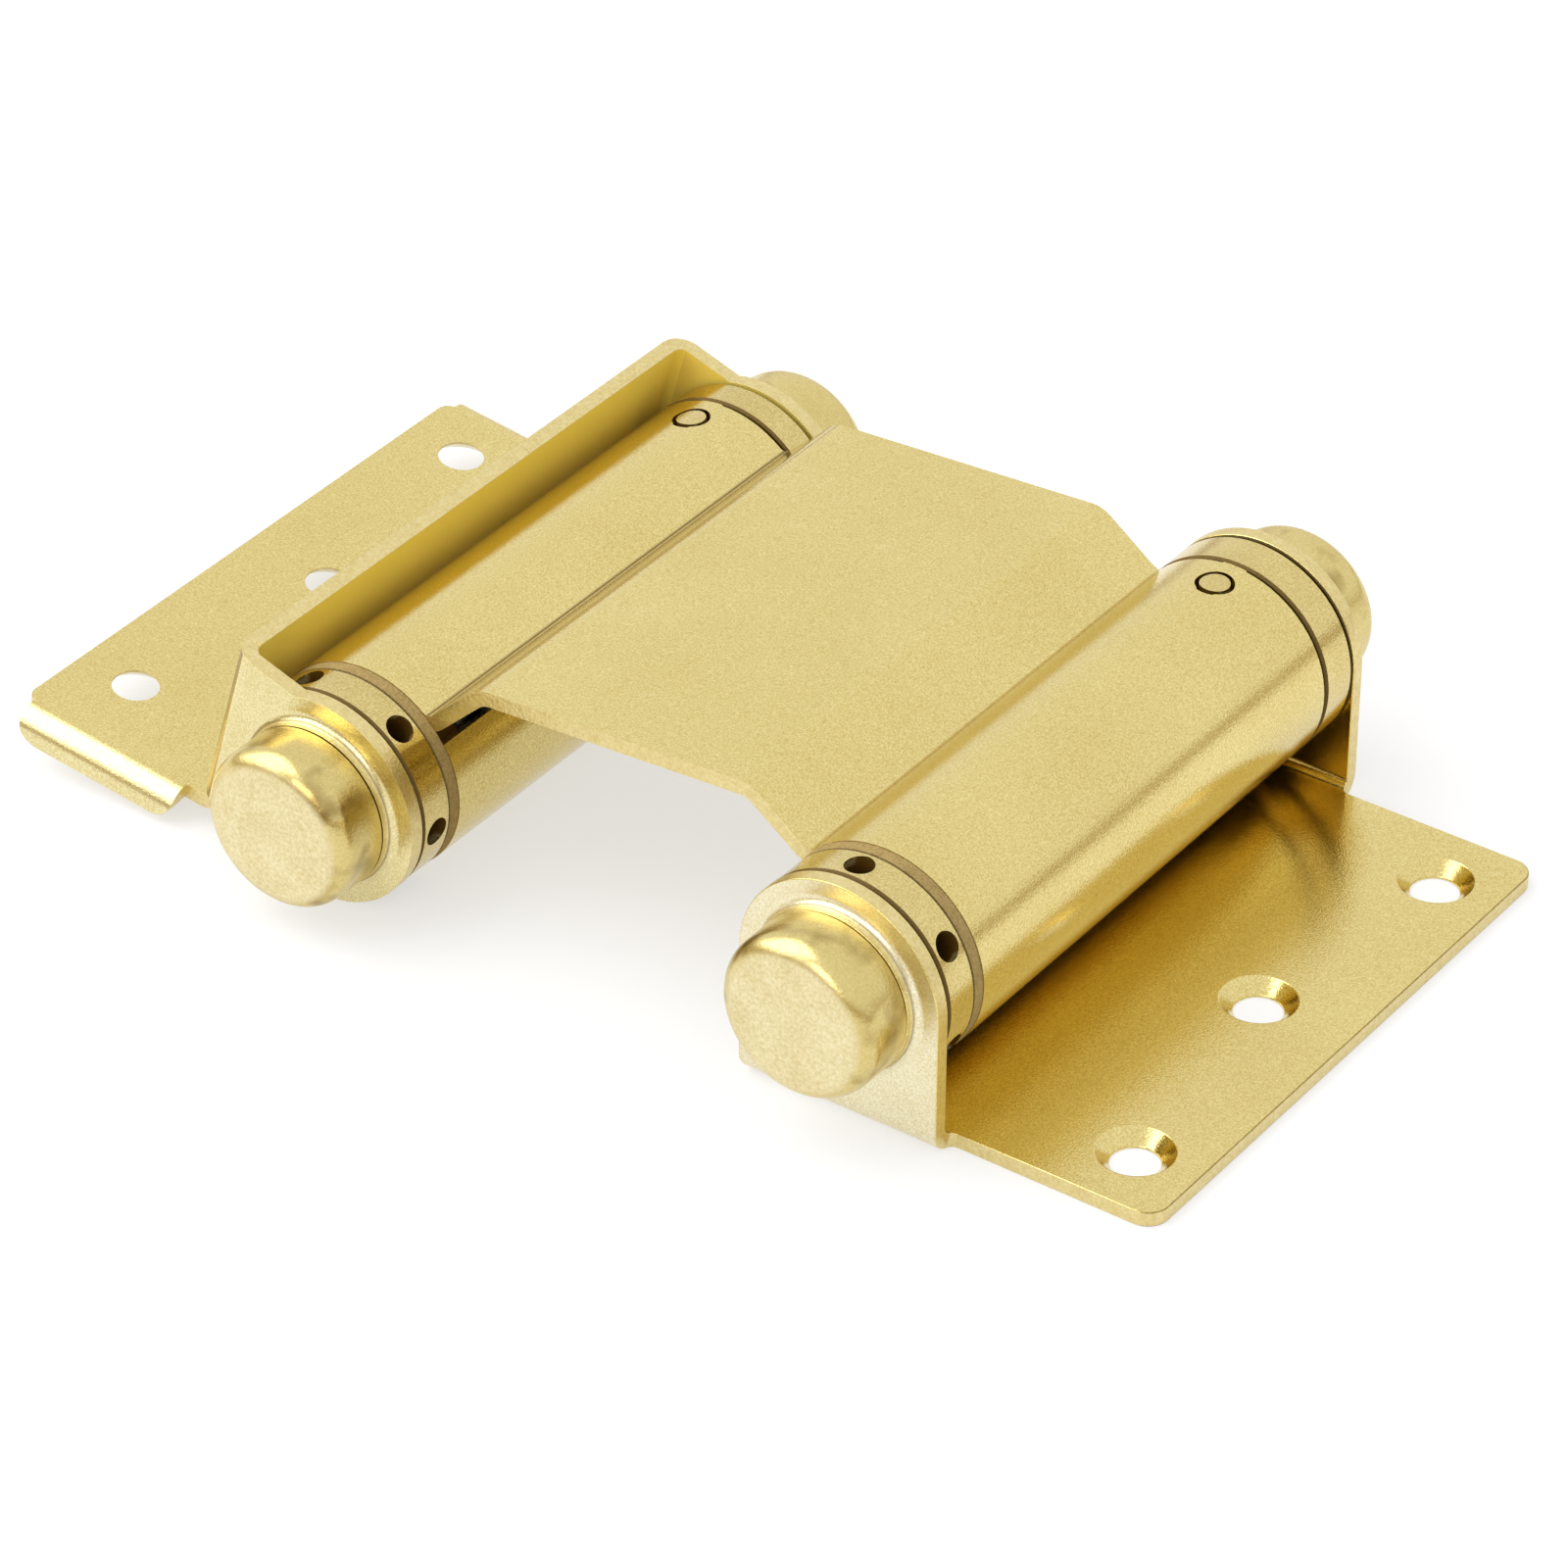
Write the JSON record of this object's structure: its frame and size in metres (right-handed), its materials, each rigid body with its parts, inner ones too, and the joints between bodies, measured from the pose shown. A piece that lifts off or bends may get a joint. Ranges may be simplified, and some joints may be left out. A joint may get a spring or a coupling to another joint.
{
  "type": "double action cafe hinge",
  "caption": "Double action spring hinge: two rolled barrels joined by a bent web, with a flat frame leaf and a walled door leaf on capped spindles.",
  "frame": {"origin": "on the frame leaf's seating face, midway between its two outer screw holes", "axes": "+X across the hinge from the door leaf to the frame leaf, +Y along both barrels from the tension collars to the pinned plugs, +Z out of the frame leaf's countersunk side; the part lies open as pictured, with the frame leaf and the door barrel on the bench"},
  "size_m": [0.1486, 0.0992, 0.0302],
  "materials": {
    "plated_sheet": "bright brass plating over satin steel sheet",
    "plated_cap": "brass plating, tumbled",
    "plated_turned": "brass plating over turned steel",
    "spindle_steel": "drawn, plain",
    "spring_steel": "oiled spring wire",
    "fibre": "vulcanised fibre, matt"
  },
  "bodies": {
    "frame_side": {"frame_leaf": "plated_sheet", "frame_spindle": "spindle_steel", "frame_front_cap": "plated_cap", "frame_rear_cap": "plated_cap", "frame_front_spacer": "spindle_steel", "frame_rear_spacer": "spindle_steel"},
    "centre": {"centre_plate": "plated_sheet", "frame_rear_plug": "plated_turned", "door_rear_plug": "plated_turned", "frame_plug_pin": "plated_turned", "door_plug_pin": "plated_turned", "frame_fibre_washer": "fibre", "door_fibre_washer": "fibre", "frame_torsion_spring": "spring_steel", "door_torsion_spring": "spring_steel"},
    "door_side": {"door_leaf": "plated_sheet", "door_spindle": "spindle_steel", "door_front_cap": "plated_cap", "door_rear_cap": "plated_cap", "door_front_spacer": "spindle_steel", "door_rear_spacer": "spindle_steel"},
    "frame_collar": {"frame_tension_collar": "plated_turned"},
    "door_collar": {"door_tension_collar": "plated_turned"}
  },
  "joints": [
    {"name": "frame_hinge", "type": "hinge", "parent": "frame_side", "child": "centre", "pos_m": [-0.0295, 0, 0.0167], "axis": [0, 1, 0], "range_deg": [0, 183.65]},
    {"name": "door_hinge", "type": "hinge", "parent": "centre", "child": "door_side", "pos_m": [-0.09686, 0, 0.0124], "axis": [0, -1, 0], "range_deg": [0, 190.75]},
    {"name": "frame_tension", "type": "hinge", "parent": "centre", "child": "frame_collar", "pos_m": [-0.0295, 0, 0.0167], "axis": [0, 1, 0], "range_deg": [0, 180], "stiffness_Nm_per_rad": 0.5, "deforming": ["frame_torsion_spring"]},
    {"name": "door_tension", "type": "hinge", "parent": "centre", "child": "door_collar", "pos_m": [-0.09686, 0, 0.0124], "axis": [0, 1, 0], "range_deg": [0, 180], "stiffness_Nm_per_rad": 0.5, "deforming": ["door_torsion_spring"]}
  ]
}
